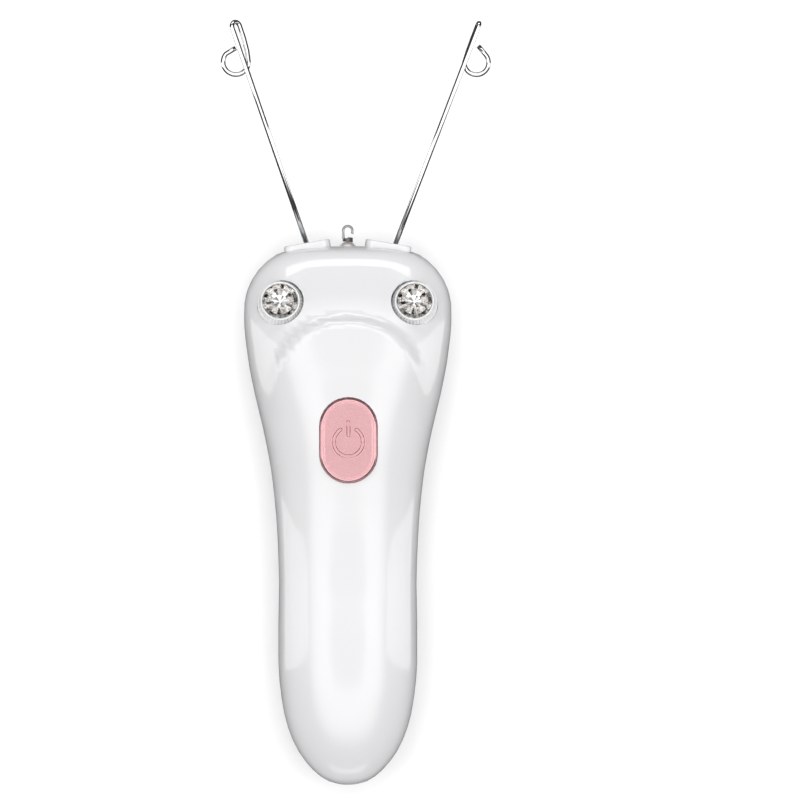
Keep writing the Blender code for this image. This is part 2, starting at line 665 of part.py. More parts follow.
cam_low = cam_y - motor_top - 1.5 * MM
shaft = prism("shaft", circle((0, 0), shaft_radius, 24), -5.8 * MM, cam_low + 4 * MM, motor_place)
add("motor_shaft", shaft, STEEL, shaft_axis)
oval = [(CAM_SHORT * x, CAM_LONG * y) for x, y in circle((0, 0), 1.0, 32)]
cam_mesh = prism("cam", oval, cam_low, cam_low + 3 * MM, motor_place)
drive_cam = add("drive_cam", cam_mesh, DARK, shaft_axis)
cam_bore = circle((0, 0), shaft_radius + 0.05 * MM, 24)
combine(drive_cam, prism("bore", cam_bore, 0, 20 * MM, motor_place))

strap_y = motor_top - 1.45 * MM
strap_place = moved(0, strap_y, motor_z, AXIS_Y)
strap_outer = arc((0, 0), motor_radius + 1.3 * MM, 180, 360, 20)
strap_foot = motor_z - chassis_top - 0.1 * MM
strap_reach = motor_radius + 1.3 * MM
strap_inner = motor_radius + 0.15 * MM
strap_outline = strap_outer + [(strap_reach, strap_foot), (strap_inner, strap_foot)]
strap_outline += arc((0, 0), strap_inner, 360, 180, 20) + [(-strap_inner, strap_foot)]
strap_outline += [(-strap_reach, strap_foot)]
strap_mesh = prism("strap", strap_outline, -1.1 * MM, 1.1 * MM, strap_place)
add("motor_strap", strap_mesh, INNER)

# ---------------------------------------------------------------- centre hook
eyelet_place = moved(0, HEAD_Y, PARTING_Z, AXIS_Y)
eyelet_profile = [
    (0, -3.2 * MM), (1.6 * MM, -3.2 * MM), (1.6 * MM, 0.1 * MM), (2.0 * MM, 0.1 * MM),
    (2.0 * MM, 0.3 * MM), (1.6 * MM, 0.4 * MM), (1.4 * MM, 0.7 * MM), (0.9 * MM, 0.95 * MM),
    (0, 0.95 * MM),
]
eyelet = add("hook_eyelet", turned("eyelet", eyelet_profile, 24, eyelet_place), STEEL)
hook_radius = HOOK_WIRE / 2
through = circle((0, 0), hook_radius + 0.12 * MM, 16)
combine(eyelet, prism("bore", through, -6 * MM, 6 * MM, eyelet_place))
for shell in (front_shell, back_shell):
    hole = prism("eyelet_room", circle((0, 0), 1.6 * MM + FIT, 20), -9 * MM, 4 * MM, eyelet_place)
    combine(shell, hole)

hook_top = 5.35 * MM - hook_radius
hook_bend = 1.45 * MM - hook_radius
hook_path = [(0, -9.0), (0, 1.9), (-0.25, 2.2), (-0.75, 2.5), (-1.08, 2.85)]
hook_path = [(x * MM, y * MM) for x, y in hook_path]
hook_path += arc((0, hook_top - hook_bend), hook_bend, 180, 0, 12)
hook_path += [(hook_bend, hook_top - hook_bend - 0.5 * MM), (0.85 * MM, 3.2 * MM)]
hook_path = [(x, HEAD_Y + y, PARTING_Z) for x, y in hook_path]
hook_axis = (0, HEAD_Y, PARTING_Z)
wire("centre_hook", hook_path, HOOK_WIRE, CHROME, hook_axis, 2)


def coil(radius, low, high, turns, place):
    """The centre line of a coil spring along the hook's own axis."""
    count = int(turns * 14)
    line = []
    for i in range(count + 1):
        a = math.tau * turns * i / count
        height = low + (high - low) * i / count
        line.append(place @ Vector((radius * math.cos(a), radius * math.sin(a), height)))
    return line


collar_line = coil(0.98 * MM, 1.2 * MM, 1.8 * MM, 1.25, eyelet_place)
wire("hook_collar", collar_line, 0.4 * MM, DARK, hook_axis, 1)
washer_profile = [(r * MM, h * MM) for r, h in [(0.45, -8.9), (2.1, -8.9), (2.1, -8.2), (0.45, -8.2)]]
washer = turned("washer", washer_profile, 20, eyelet_place)
add("hook_washer", washer, STEEL, hook_axis)
spring_line = coil(1.2 * MM, -7.85 * MM, -3.5 * MM - HOOK_PULL, 3, eyelet_place)
wire("hook_spring", spring_line, 0.4 * MM, STEEL, hook_axis, 1)

# ---------------------------------------------------------------- batteries, tray, contacts and cover
cell_radius = BATTERY_DIAMETER / 2
cell_x = cell_radius + BATTERY_GAP / 2
cell_z = WALL + COVER_RECESS + 0.4 * MM + cell_radius
tray_inner = BATTERY_LENGTH + 3.6 * MM
tray_half = 2 * cell_radius + BATTERY_GAP / 2 + 0.3 * MM
tray_top = cell_z + cell_radius + 0.3 * MM
# The tray starts a little up from where the hollow is wide and deep enough for its end.
tray_start = TAIL_Y + WALL
while hollow_floor(tray_half + TRAY_WALL, tray_start) > cell_z:
    tray_start += 0.1 * MM
tray_start += TRAY_START
tray_low = (-tray_half - TRAY_WALL, tray_start, cell_z)
tray_high = (tray_half + TRAY_WALL, tray_start + tray_inner + 2 * TRAY_WALL, tray_top + TRAY_WALL)
tray = add("battery_tray", box("tray", tray_low, tray_high), INNER)
pit_low = (-tray_half, tray_start + TRAY_WALL, 0)
pit_high = (tray_half, tray_start + TRAY_WALL + tray_inner, tray_top)
combine(tray, box("tray_pit", pit_low, pit_high))

contact_low = tray_start + TRAY_WALL + 0.1 * MM
contact_high = tray_start + TRAY_WALL + tray_inner - 0.1 * MM
plate_z = (cell_z + 0.6 * MM, tray_top - 0.3 * MM)
battery_low = contact_low + CONTACT_THICKNESS + 2.3 * MM
battery_high = contact_high - CONTACT_THICKNESS - 0.1 * MM
bridge_low = (-tray_half + 1.5 * MM, contact_low, plate_z[0])
bridge_high = (tray_half - 1.5 * MM, contact_low + CONTACT_THICKNESS, plate_z[1])
add("contact_bridge", box("bridge", bridge_low, bridge_high), STEEL)
for side, label in ((-1, "left"), (1, "right")):
    x = side * cell_x
    tab_low = (x - 3 * MM, contact_high - CONTACT_THICKNESS, plate_z[0])
    tab_high = (x + 3 * MM, contact_high, plate_z[1])
    add(f"contact_tab_{label}", box("tab", tab_low, tab_high), STEEL)
    facing = moved(x, battery_low, cell_z, AXIS_Y)
    length = battery_high - battery_low
    tip = 1.0 * MM
    body = [
        (0, 0), (cell_radius - 0.5 * MM, 0), (cell_radius, 0.5 * MM),
        (cell_radius, length - tip - 0.5 * MM), (cell_radius - 0.5 * MM, length - tip),
        (1.9 * MM, length - tip), (1.9 * MM, length), (0, length),
    ]
    add(f"battery_{label}", turned("battery", body, 24, facing), DARK)
    start = contact_low + CONTACT_THICKNESS + 0.35 * MM
    line = []
    for i in range(36):
        a = math.tau * i / 12
        reach = (2.6 - 0.9 * i / 35) * MM
        y = start + (battery_low - 0.3 * MM - start) * i / 35
        line.append((x + reach * math.cos(a), y, cell_z + reach * math.sin(a)))
    wire(f"contact_spring_{label}", line, CONTACT_WIRE, STEEL, None, 1)

cover_start = tray_start - 1.6 * MM
cover_low = (-COVER_WIDTH / 2, cover_start, -MM)
cover_high = (COVER_WIDTH / 2, cover_start + COVER_LENGTH, 5.5 * MM)
cover_axis = (0, cover_high[1], COVER_RECESS)
opening_low = tuple(value - COVER_GAP for value in cover_low)
opening_high = (cover_high[0] + COVER_GAP, cover_high[1] + COVER_GAP, cover_high[2] + 3 * MM)
combine(back_shell, box("cover_opening", opening_low, opening_high))
cover_body = half_body("cover_body", False, 0.0, 26, 36, False)
battery_cover = add("battery_cover", cover_body, WHITE, cover_axis)
combine(battery_cover, half_body("cover_hollow", False, WALL, 18, 26, False))
combine(battery_cover, box("cover_piece", cover_low, cover_high), "INTERSECT")
skim_low = (-HALF_WIDTH, cover_low[1] - MM, -5 * MM)
skim_high = (HALF_WIDTH, cover_high[1] + MM, COVER_RECESS)
combine(battery_cover, box("cover_skim", skim_low, skim_high))

# ---------------------------------------------------------------- case screws
head, neck = SCREW_HEAD_DIAMETER / 2, SCREW_DIAMETER / 2
head_top = SCREW_SEAT_Z - 0.05 * MM
head_low = head_top - SCREW_HEAD_HEIGHT
for i, (x, y) in enumerate(case_screws):
    profile = [
        (0, head_low), (head - 0.5 * MM, head_low), (head, head_low + 0.6 * MM), (head, head_top),
        (neck, head_top), (neck, SCREW_TOP_Z - 0.4 * MM), (neck - 0.5 * MM, SCREW_TOP_Z),
        (0, SCREW_TOP_Z),
    ]
    screw = add(f"case_screw_{i + 1}", turned("screw", profile, 20, moved(x, y, 0)), STEEL)
    for reach_x, reach_y in ((1.3 * MM, 0.3 * MM), (0.3 * MM, 1.3 * MM)):
        low, high = (x - reach_x, y - reach_y, 0), (x + reach_x, y + reach_y, SCREW_SEAT_Z - MM)
        combine(screw, box("drive", low, high))
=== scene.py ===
import bisect
import json
import math

import bmesh
import bpy
from mathutils import Matrix, Vector


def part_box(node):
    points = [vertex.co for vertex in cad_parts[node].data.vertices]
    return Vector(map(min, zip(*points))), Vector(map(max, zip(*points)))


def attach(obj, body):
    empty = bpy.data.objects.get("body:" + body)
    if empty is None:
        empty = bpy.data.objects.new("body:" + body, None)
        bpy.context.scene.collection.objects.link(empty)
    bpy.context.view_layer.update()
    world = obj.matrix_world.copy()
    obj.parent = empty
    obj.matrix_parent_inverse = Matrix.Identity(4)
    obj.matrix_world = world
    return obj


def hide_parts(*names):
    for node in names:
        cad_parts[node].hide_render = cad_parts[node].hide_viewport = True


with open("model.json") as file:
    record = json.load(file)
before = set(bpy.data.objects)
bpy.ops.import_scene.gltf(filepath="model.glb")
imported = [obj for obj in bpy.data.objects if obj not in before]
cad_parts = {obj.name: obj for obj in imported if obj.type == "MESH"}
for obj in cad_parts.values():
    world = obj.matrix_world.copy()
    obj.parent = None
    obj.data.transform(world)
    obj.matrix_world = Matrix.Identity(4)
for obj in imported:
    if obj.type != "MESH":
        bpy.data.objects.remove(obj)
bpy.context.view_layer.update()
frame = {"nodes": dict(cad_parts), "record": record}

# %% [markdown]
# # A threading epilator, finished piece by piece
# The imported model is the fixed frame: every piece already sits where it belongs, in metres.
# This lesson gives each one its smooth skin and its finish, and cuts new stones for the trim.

MM = 0.001
nodes = frame["nodes"]
slot_of = {row["node"]: row["material_slot"] for row in frame["record"]["subparts"]}
body_of_node = {
    name: body for body, names in frame["record"]["behaviour"]["bodies"].items() for name in names
}

# %% [markdown]
# ## Shader maths as plain expressions
# A finish is easier to read when its maths looks like maths. `Signal` wraps one value socket, so
# `0.3 + 0.1 * grain` adds the two Math nodes that it says. `Finish` owns the material and adds
# every other node, settings first and sockets after.

# %% Signal: a value socket that can be added, multiplied and compared
class Signal:
    def __init__(self, finish, socket):
        self.finish = finish
        self.socket = socket

    def maths(self, operation, first, second):
        node = self.finish.node("ShaderNodeMath", {"operation": operation}, {0: first, 1: second})
        return Signal(self.finish, node.outputs[0])

    def __add__(self, other):
        return self.maths("ADD", self, other)

    def __radd__(self, other):
        return self.maths("ADD", other, self)

    def __rsub__(self, other):
        return self.maths("SUBTRACT", other, self)

    def __mul__(self, other):
        return self.maths("MULTIPLY", self, other)

    def __rmul__(self, other):
        return self.maths("MULTIPLY", other, self)

    def __gt__(self, other):
        return self.maths("GREATER_THAN", self, other)

    def __lt__(self, other):
        return self.maths("LESS_THAN", self, other)


# %% Finish: one material and the few ways of adding to it
class Finish:
    def __init__(self, name, **steady):
        self.material = bpy.data.materials.new(name)
        self.material.use_nodes = True
        self.tree = self.material.node_tree
        self.shader = self.tree.nodes["Principled BSDF"]
        for socket, value in steady.items():
            self.shader.inputs[socket.replace("_", " ")].default_value = value
        self.place = self.node("ShaderNodeTexCoord").outputs["Object"]

    def node(self, kind, settings=None, sockets=None):
        made = self.tree.nodes.new(kind)
        for setting, value in (settings or {}).items():
            setattr(made, setting, value)
        for socket, value in (sockets or {}).items():
            if isinstance(value, Signal):
                value = value.socket
            if isinstance(value, bpy.types.NodeSocket):
                self.tree.links.new(value, made.inputs[socket])
            else:
                made.inputs[socket].default_value = value
        return made

    def stretched(self, scale):
        """Object coordinates, stretched by a factor along each axis."""
        sockets = {"Vector": self.place, "Scale": scale}
        return self.node("ShaderNodeMapping", None, sockets).outputs["Vector"]

    def grain(self, scale, detail=3.0, roughness=0.5, stretch=(1, 1, 1)):
        """Noise from 0 to 1. The scale counts its lumps in a metre."""
        sockets = {"Vector": self.stretched(stretch), "Scale": scale, "Detail": detail}
        sockets["Roughness"] = roughness
        noise = self.node("ShaderNodeTexNoise", None, sockets)
        return Signal(self, noise.outputs[0])

    def axis(self, letter):
        """One coordinate of the piece, in metres."""
        split = self.node("ShaderNodeSeparateXYZ", None, {0: self.place})
        return Signal(self, split.outputs[letter])

    def blend(self, factor, low, high):
        """A colour between two, by a signal."""
        settings = {"data_type": "RGBA", "clamp_factor": True}
        mix = self.node("ShaderNodeMix", settings, {0: factor})
        for index, colour in ((6, low), (7, high)):
            if isinstance(colour, bpy.types.NodeSocket):
                self.tree.links.new(colour, mix.inputs[index])
            else:
                mix.inputs[index].default_value = (*colour, 1.0)
        return mix.outputs[2]

    def drive(self, socket, signal):
        """Feeds a shader socket."""
        if isinstance(signal, Signal):
            signal = signal.socket
        self.tree.links.new(signal, self.shader.inputs[socket])

    def relief(self, height, depth):
        """Bump of this depth in metres."""
        sockets = {"Height": height, "Distance": depth, "Strength": 1.0}
        bump = self.node("ShaderNodeBump", None, sockets)
        self.tree.links.new(bump.outputs[0], self.shader.inputs["Normal"])


print("signals and finishes are ready")

# %% [markdown]
# ## Plastics
# Gloss ABS comes out of a polished mould. It is never quite even: the colour drifts a little with
# the wall's thickness, fine swirls dull it where it was wiped, and the skin has a faint orange
# peel. The works inside are plain satin mouldings with a spark-eroded grain.

# %% Moulded plastic
def moulded(name, colour, roughness, peel=2e-6, coat=0.0, drift=0.02):
    made = Finish(name, Coat_Roughness=0.04, IOR=1.45)
    cloud = made.grain(55.0, 2.0)
    shade = tuple(channel * (1 - drift) for channel in colour)
    made.drive("Base Color", made.blend(cloud, shade, colour))
    wiped = made.grain(420.0, 4.0, 0.6, (1, 0.25, 1))
    made.drive("Roughness", roughness * (0.85 + 0.3 * wiped))
    if coat:
        made.drive("Coat Weight", coat * (0.9 + 0.1 * cloud))
    made.relief(made.grain(900.0, 2.0, 0.4), peel)
    return made


white_shell = moulded("white_abs", (0.67, 0.67, 0.68), 0.34, 1.0e-6, 0.9)
# The body's white plastic made lighter: painted light, so the rounded collar rims read bright.
painted_light_white_trim = moulded("painted_light_white_trim", (0.86, 0.86, 0.86), 0.3, 1.0e-6, 0.6)
inner_grey = moulded("inner_abs", (0.50, 0.51, 0.53), 0.5, 12e-6)
dark_acetal = moulded("dark_acetal", (0.02, 0.02, 0.022), 0.42, 8e-6, 0.0, 0.2)
print("four plastics")

# %% [markdown]
# ## Metals
# Drawn and plated metal has its marks along one way, so its noise is stretched that way. Bright
# chrome keeps only a faint haze of fingerprints.

# %% Drawn, plated and brushed metal
def metal(name, colour, roughness, stretch=(1, 1, 1), depth=1e-6, haze=0.3, body=1.0):
    made = Finish(name, Metallic=body)
    tone = made.grain(160.0, 3.0)
    dull = tuple(channel * 0.9 for channel in colour)
    made.drive("Base Color", made.blend(tone, dull, colour))
    streaks = made.grain(2600.0, 2.0, 0.6, stretch)
    made.drive("Roughness", roughness * (1 - haze / 2 + haze * streaks))
    made.relief(streaks, depth)
    return made


chrome = metal("chrome_wire", (0.64, 0.645, 0.65), 0.07, (1, 0.1, 1), 0.4e-6, 0.8)
steel = metal("zinc_steel", (0.56, 0.57, 0.59), 0.3, (1, 0.15, 1), 2e-6)
spring_steel = metal("spring_steel", (0.20, 0.19, 0.19), 0.32, (1, 1, 1), 1e-6)
nickel = metal("warm_nickel", (0.74, 0.68, 0.66), 0.36, (1, 1, 0.1), 1e-6, 0.3, 0.55)
rose_gold = metal("rose_gold", (0.56, 0.32, 0.335), 0.26, (1, 1, 1), 0.5e-6, 0.3, 0.9)
dark_nickel = metal("dark_nickel", (0.30, 0.295, 0.29), 0.16, (1, 0.2, 1), 0.5e-6)
print("six metals")

# %% [markdown]
# ## Cut glass on foil
# The trim stones are glass brilliants with a foil on the back, mirror bright in most places and
# near black in a few, a painted dark reflection. The glass stays clear, and the foil under it gives
# the dark and bright patches that change as the piece turns.

# %% Glass and foil
glass = Finish("cut_glass", Transmission_Weight=1.0, IOR=1.56)
clear_tone = glass.grain(300.0, 1.0)
glass.drive("Base Color", glass.blend(clear_tone, (0.97, 0.97, 0.98), (1.0, 1.0, 1.0)))
glass.drive("Roughness", 0.004 + 0.008 * clear_tone)

foil = Finish("stone_foil", Metallic=1.0)
foil_tone = foil.grain(500.0, 2.0)
foil.drive("Base Color", foil.blend(foil_tone, (0.72, 0.69, 0.66), (0.95, 0.94, 0.93)))
foil.drive("Roughness", 0.14 + 0.08 * foil_tone)

# Near-black foil: a painted dark reflection, standing in for the dark surroundings seen in a few
# facets.
dark_reflection_foil = Finish("painted_dark_reflection_foil", Metallic=1.0)
dark_reflection_tone = dark_reflection_foil.grain(500.0, 2.0)
dark_reflection_foil.drive("Base Color", dark_reflection_foil.blend(dark_reflection_tone, (0.03, 0.028, 0.026), (0.10, 0.095, 0.09)))
dark_reflection_foil.drive("Roughness", 0.05 + 0.08 * dark_reflection_tone)
print("glass and two foils")

# %% [markdown]
# ## Board and cells
# The board is green solder mask over copper tracks. The cells wear a dark sleeve with a copper
# band at the positive end and no lettering.

# %% Circuit board
board_mask = Finish("solder_mask", Coat_Roughness=0.2)
cells = board_mask.node(
    "ShaderNodeTexVoronoi",
    {"feature": "DISTANCE_TO_EDGE"},
    {"Vector": board_mask.place, "Scale": 420.0},
)
track = Signal(board_mask, cells.outputs[0]) < 0.09
board_mask.drive("Base Color", board_mask.blend(track, (0.015, 0.13, 0.05), (0.04, 0.27, 0.10)))
board_mask.drive("Roughness", 0.38 - 0.1 * track)
board_mask.relief(track, 20e-6)

# %% Battery sleeve
sleeve = Finish("cell_sleeve", Coat_Weight=0.4)
top_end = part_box("battery_left")[1][1]
along = sleeve.axis("Y")
band = along > top_end - 12 * MM
cap = along > top_end - 1.3 * MM
banded = sleeve.blend(band, (0.03, 0.03, 0.035), (0.70, 0.36, 0.16))
sleeve.drive("Base Color", sleeve.blend(cap, banded, (0.6, 0.6, 0.62)))
sleeve.drive("Metallic", cap * 1.0)
sleeve.drive("Roughness", 0.3 + 0.12 * sleeve.grain(700.0))
print("board and cells")

# %% [markdown]
# ## One smooth skin for each piece
# A node of the frame is loose triangles. A copy of it, with its doubles merged and its sharp edges
# marked by angle, shades as one smooth surface and stands for the node. Its place stays in its
# mesh, so a pattern on object coordinates stays put when the piece moves.

# %% Dressing a node in a finish
finish_of_slot = {
    "shell_white": white_shell,
    "trim_white": painted_light_white_trim,
    "stone": glass,
    "button_pink": rose_gold,
    "dark_plastic": dark_acetal,
    "inner_plastic": inner_grey,
    "board_green": board_mask,
    "steel": steel,
    "spring_steel": spring_steel,
    "eyelet_metal": nickel,
    "chrome_wire": chrome,
    "battery_wrap": sleeve,
}


def stand_in(piece, node, finish=None):
    """The piece takes a node's body, slot and finish, and the node isn't shown."""
    chosen = finish or finish_of_slot[slot_of[node]]
    piece.data.materials.clear()
    piece.data.materials.append(chosen.material)
    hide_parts(node)
    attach(piece, body_of_node[node])
    return piece


def new_piece(name, shape, crease=None):
    """A finished bmesh as an object at the origin, smooth up to a crease angle in degrees."""
    data = bpy.data.meshes.new(name)
    shape.to_mesh(data)
    shape.free()
    if crease:
        data.shade_smooth()
        data.set_sharp_from_angle(angle=math.radians(crease))
    piece = bpy.data.objects.new(name, data)
    bpy.context.scene.collection.objects.link(piece)
    return piece


print(f"{len(finish_of_slot)} slots have a finish")

# %% [markdown]
# ## The front's own surface
# The front shell is a solid of flat facets, with openings cut through it, and the thin triangles
# beside each cut catch the light in streaks. The surface it was cut from is smooth and has a
# formula: a long section line, a rounded cross-section, and a raised panel with a soft crease. The
# facets stay as they are, and each point is lit by the direction of that surface.

# %% The lines along the body
# Each point is (share of the length from the tail, share of the half-width or of the height).
BODY_LENGTH = 135.1 * MM
HALF_WIDTH = 26.0 * MM
TAIL_Y = -68.0 * MM
PARTING_Z = 15.0 * MM
FRONT_RISE = 17.6 * MM
WIDTH_LINE = [
    (0.0, 0.0), (0.0074, 0.19), (0.03, 0.346), (0.063, 0.477), (0.107, 0.577), (0.152, 0.631),
    (0.23, 0.669), (0.31, 0.669), (0.363, 0.662), (0.46, 0.677), (0.574, 0.731), (0.662, 0.817),
    (0.729, 0.9), (0.796, 0.965), (0.862, 0.999), (0.896, 0.996), (0.929, 0.946),
    (0.951, 0.88), (0.973, 0.77), (0.992, 0.585), (1.0, 0.0),
]
FRONT_LINE = [
    (0.0, 0.0), (0.0074, 0.23), (0.03, 0.38), (0.063, 0.51), (0.12, 0.64), (0.2, 0.725),
    (0.28, 0.745), (0.385, 0.69), (0.46, 0.715), (0.56, 0.79), (0.64, 0.872), (0.73, 0.925),
    (0.8, 0.93), (0.86, 0.86), (0.9, 0.765), (0.94, 0.625), (0.97, 0.5), (0.99, 0.36), (1.0, 0.0),
]
PANEL_LINE = [(0.0, 0.9), (0.7, 0.925), (0.78, 0.965), (0.86, 1.0), (1.0, 1.0)]
SIDE_POWER = 2.4
PANEL_POWER = 3.0
PANEL_HALF_WIDTH = 0.7
PANEL_TURN = 0.725
PANEL_TOP = 0.133
CREASE_POWER = 2.2
CREASE_FADE = (0.95, 1.12)
PANEL_FADE = (0.66, 0.8)


def drawn_out(fraction):
    """Both ends of the body drawn out, so that a line rounds off to a point there."""
    return math.acos(max(-1.0, min(1.0, 1 - 2 * fraction)))


class Line:
    """A monotone cubic through points along the body."""

    def __init__(self, points):
        self.at = [drawn_out(share) for share, value in points]
        self.values = [value for share, value in points]
        widths = [b - a for a, b in zip(self.at, self.at[1:])]
        slopes = [(b - a) / w for a, b, w in zip(self.values, self.values[1:], widths)]
        self.leans = [slopes[0]] + [0.0] * (len(slopes) - 1) + [slopes[-1]]
        for i in range(1, len(slopes)):
            if slopes[i - 1] * slopes[i] > 0:
                left, right = 2 * widths[i] + widths[i - 1], widths[i] + 2 * widths[i - 1]
                self.leans[i] = (left + right) / (left / slopes[i - 1] + right / slopes[i])

    def __call__(self, fraction):
        at = drawn_out(fraction)
        i = max(0, min(len(self.at) - 2, bisect.bisect_left(self.at, at) - 1))
        width = self.at[i + 1] - self.at[i]
        t = (at - self.at[i]) / width
        near = self.values[i] * (1 + 2 * t) * (1 - t) ** 2 + self.leans[i] * width * t * (1 - t) ** 2
        far = self.values[i + 1] * t * t * (3 - 2 * t) + self.leans[i + 1] * width * t * t * (t - 1)
        return near + far


width_line = Line(WIDTH_LINE)
front_line = Line(FRONT_LINE)
panel_line = Line(PANEL_LINE)
print(f"the body is {2000 * HALF_WIDTH * width_line(0.31):.1f} mm wide at the grip")


# %% Height and direction of the front
def ramp(low, high, value):
    """0 below low, 1 above high, smooth between."""
    t = max(0.0, min(1.0, (value - low) / (high - low)))
    return t * t * (3 - 2 * t)


def bow(share, power):
    """Height of a rounded section at this share of its half-width."""
    return max(0.0, 1 - min(1.0, abs(share)) ** power) ** (1 / power)


def along_body(y):
    """Share of the body's length at this Y."""
    return max(0.0, min(1.0, (y - TAIL_Y) / BODY_LENGTH))


def crease_reach(x, y):
    """How far out from the raised panel's middle a place is: its crease runs at 1."""
    across = abs(x) / HALF_WIDTH / PANEL_HALF_WIDTH
    up = max(0.0, along_body(y) - PANEL_TURN) / PANEL_TOP
    return (across**CREASE_POWER + up**CREASE_POWER) ** (1 / CREASE_POWER)


def front_surface(x, y):
    """Height of the front at a place, and its share of the half-width there."""
    fraction = along_body(y)
    share = x / (width_line(fraction) * HALF_WIDTH + 1e-9)
    base = front_line(fraction) * bow(share, SIDE_POWER)
    panel = max(panel_line(fraction), front_line(fraction)) * bow(share, PANEL_POWER)
    raised = ramp(*PANEL_FADE, fraction) * (1 - ramp(*CREASE_FADE, crease_reach(x, y)))
    return PARTING_Z + (base + (panel - base) * raised) * FRONT_RISE, abs(share)


PROBE = 0.45 * MM
NEAR_SURFACE = 0.4 * MM
SIDE_SHARE = 0.97
FACING = 0.82


def front_normal(x, y):
    """The true direction of the front's surface, by small steps, or None beside the parting line."""
    step = PROBE
    if front_surface(x, y)[1] > SIDE_SHARE:
        return None
    lean_x = (front_surface(x + step, y)[0] - front_surface(x - step, y)[0]) / (2 * step)
    lean_y = (front_surface(x, y + step)[0] - front_surface(x, y - step)[0]) / (2 * step)
    return Vector((-lean_x, -lean_y, 1.0)).normalized()


def true_shading(piece):
    """Lights the front's points by the surface's own direction, where a point lies on it."""
    data = piece.data
    known = {}
    for vert in data.vertices:
        x, y, z = vert.co
        if abs(front_surface(x, y)[0] - z) < NEAR_SURFACE:
            known[vert.index] = front_normal(x, y)
    auto = Vector((0.0, 0.0, 0.0))
    directions = [auto] * len(data.loops)
    for face in data.polygons:
        for loop in face.loop_indices:
            found = known.get(data.loops[loop].vertex_index)
            if found is not None and found.dot(face.normal) > FACING:
                directions[loop] = found
    data.normals_split_custom_set(directions)
    print(f"{sum(found is not None for found in known.values())} points follow the true surface")


# %% A skin for every piece that isn't made anew
ROUND_OF = {"battery_cover": 0.15 * MM, "motor_strap": 0.1 * MM}
RIM_FINISH = {"slot_rim_left": white_shell, "slot_rim_right": white_shell}
CURVED = {"front_shell", "back_shell"}
WIRES = {"arm_wire_left", "arm_wire_right", "contact_spring_left", "contact_spring_right"}
WIRES |= {"hook_spring"}
WIRE_CREASE = 75
CREASE = 32
DOUBLES = 2e-6


def skin(node):
    """A smooth copy of a node; the battery cover and the motor strap also get their edges rounded."""
    shape = bmesh.new()
    shape.from_mesh(nodes[node].data)
    bmesh.ops.remove_doubles(shape, verts=shape.verts, dist=DOUBLES)
    piece = new_piece(f"{node}_skin", shape, WIRE_CREASE if node in WIRES else CREASE)
    if node in ROUND_OF:
        soften = piece.modifiers.new("soft_edges", "BEVEL")
        soften.width = ROUND_OF[node]
        soften.segments = 2
        soften.limit_method = "ANGLE"
        soften.angle_limit = math.radians(50)
    if node not in CURVED | WIRES:
        even = piece.modifiers.new("even_shading", "WEIGHTED_NORMAL")
        even.keep_sharp = True
    return stand_in(piece, node, RIM_FINISH.get(node))


made_anew = {"stone_left", "stone_right", "stone_collar_left", "stone_collar_right"}
made_anew |= {"power_button", "centre_hook", "hook_collar"}
skins = {node: skin(node) for node in nodes if node not in made_anew}
true_shading(skins["front_shell"])
print(f"{len(skins)} pieces wear a smooth skin")

# %% [markdown]
# ## The stones
# A brilliant has a flat table, eight kites, and small facets down to the girdle, over a pointed
# back. `convex_hull` closes a few rings of points into exactly those facets. Each stone is
# built upright and then tilted into the seat that the frame gives it.

# %% A brilliant and its foil
LEAN = math.radians(-12.5)
CROWN_RINGS = [(1.0, 2.95, 16, 0.0), (0.84, 3.5, 8, 0.5), (0.70, 3.93, 8, 0.0), (0.56, 4.2, 8, 0.5)]
BACK_RINGS = [(1.0, 2.6, 16, 0.0), (0.6, 1.5, 8, 0.5), (0.2, 0.9, 8, 0.0)]
SEAT_RINGS = [(1.0, 2.95, 16, 0.0), (0.56, 4.2, 8, 0.5), (0.19, 0.05, 16, 0.0)]
FOIL_RINGS = [(0.99, 2.48), (0.70, 2.0), (0.38, 1.6), (0.05, 1.3)]
STONE_FILL = 1.035
PLEATS = 24
PLEAT_RISE = 0.09
ONE_DARK_REFLECTION_IN = 5


def faceted(rings, radius):
    """The hull of rings of points: (share of radius, height in mm, count, turn in steps)."""
    shape = bmesh.new()
    for share, height, count, turn in rings:
        ring = bmesh.ops.create_circle(shape, segments=count, radius=radius * share)["verts"]
        spin = Matrix.Rotation(math.tau * turn / count, 4, "Z")
        place = Matrix.Translation((0, 0, height * MM)) @ spin
        bmesh.ops.transform(shape, matrix=place, verts=ring)
    bmesh.ops.convex_hull(shape, input=shape.verts)
    loose = [edge for edge in shape.edges if not edge.link_faces]
    bmesh.ops.delete(shape, geom=loose, context="EDGES")
    bmesh.ops.recalc_face_normals(shape, faces=shape.faces)
    return shape


def seat_of(node):
    """The matrix that carries an upright stone into its tilted seat."""
    low, high = (Vector(corner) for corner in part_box(node))
    tilt = Matrix.Rotation(LEAN, 4, "X")
    shape = faceted(SEAT_RINGS, stone_radius)
    corners = [tilt @ vert.co for vert in shape.verts]
    shape.free()
    top = max(corner.z for corner in corners)
    back = min(corner.y for corner in corners)
    move = Vector(((low.x + high.x) / 2, low.y - back, high.z - top))
    return Matrix.Translation(move) @ tilt


def pleated(radius, seat):
    """A shallow foil cup whose wall zigzags, so that each facet mirrors another way."""
    shape = bmesh.new()
    rings = []
    for share, height in FOIL_RINGS:
        ring = []
        for i in range(PLEATS):
            a = math.tau * i / PLEATS
            rise = (height + (PLEAT_RISE if i % 2 else -PLEAT_RISE) * share) * MM
            reach = radius * share
            spot = Vector((reach * math.cos(a), reach * math.sin(a), rise))
            ring.append(shape.verts.new(seat @ spot))
        rings.append(ring)
    for near, far in zip(rings, rings[1:]):
        for i in range(PLEATS):
            j = (i + 1) % PLEATS
            shape.faces.new((near[i], near[j], far[j], far[i]))
    shape.faces.new(rings[-1])
    return shape


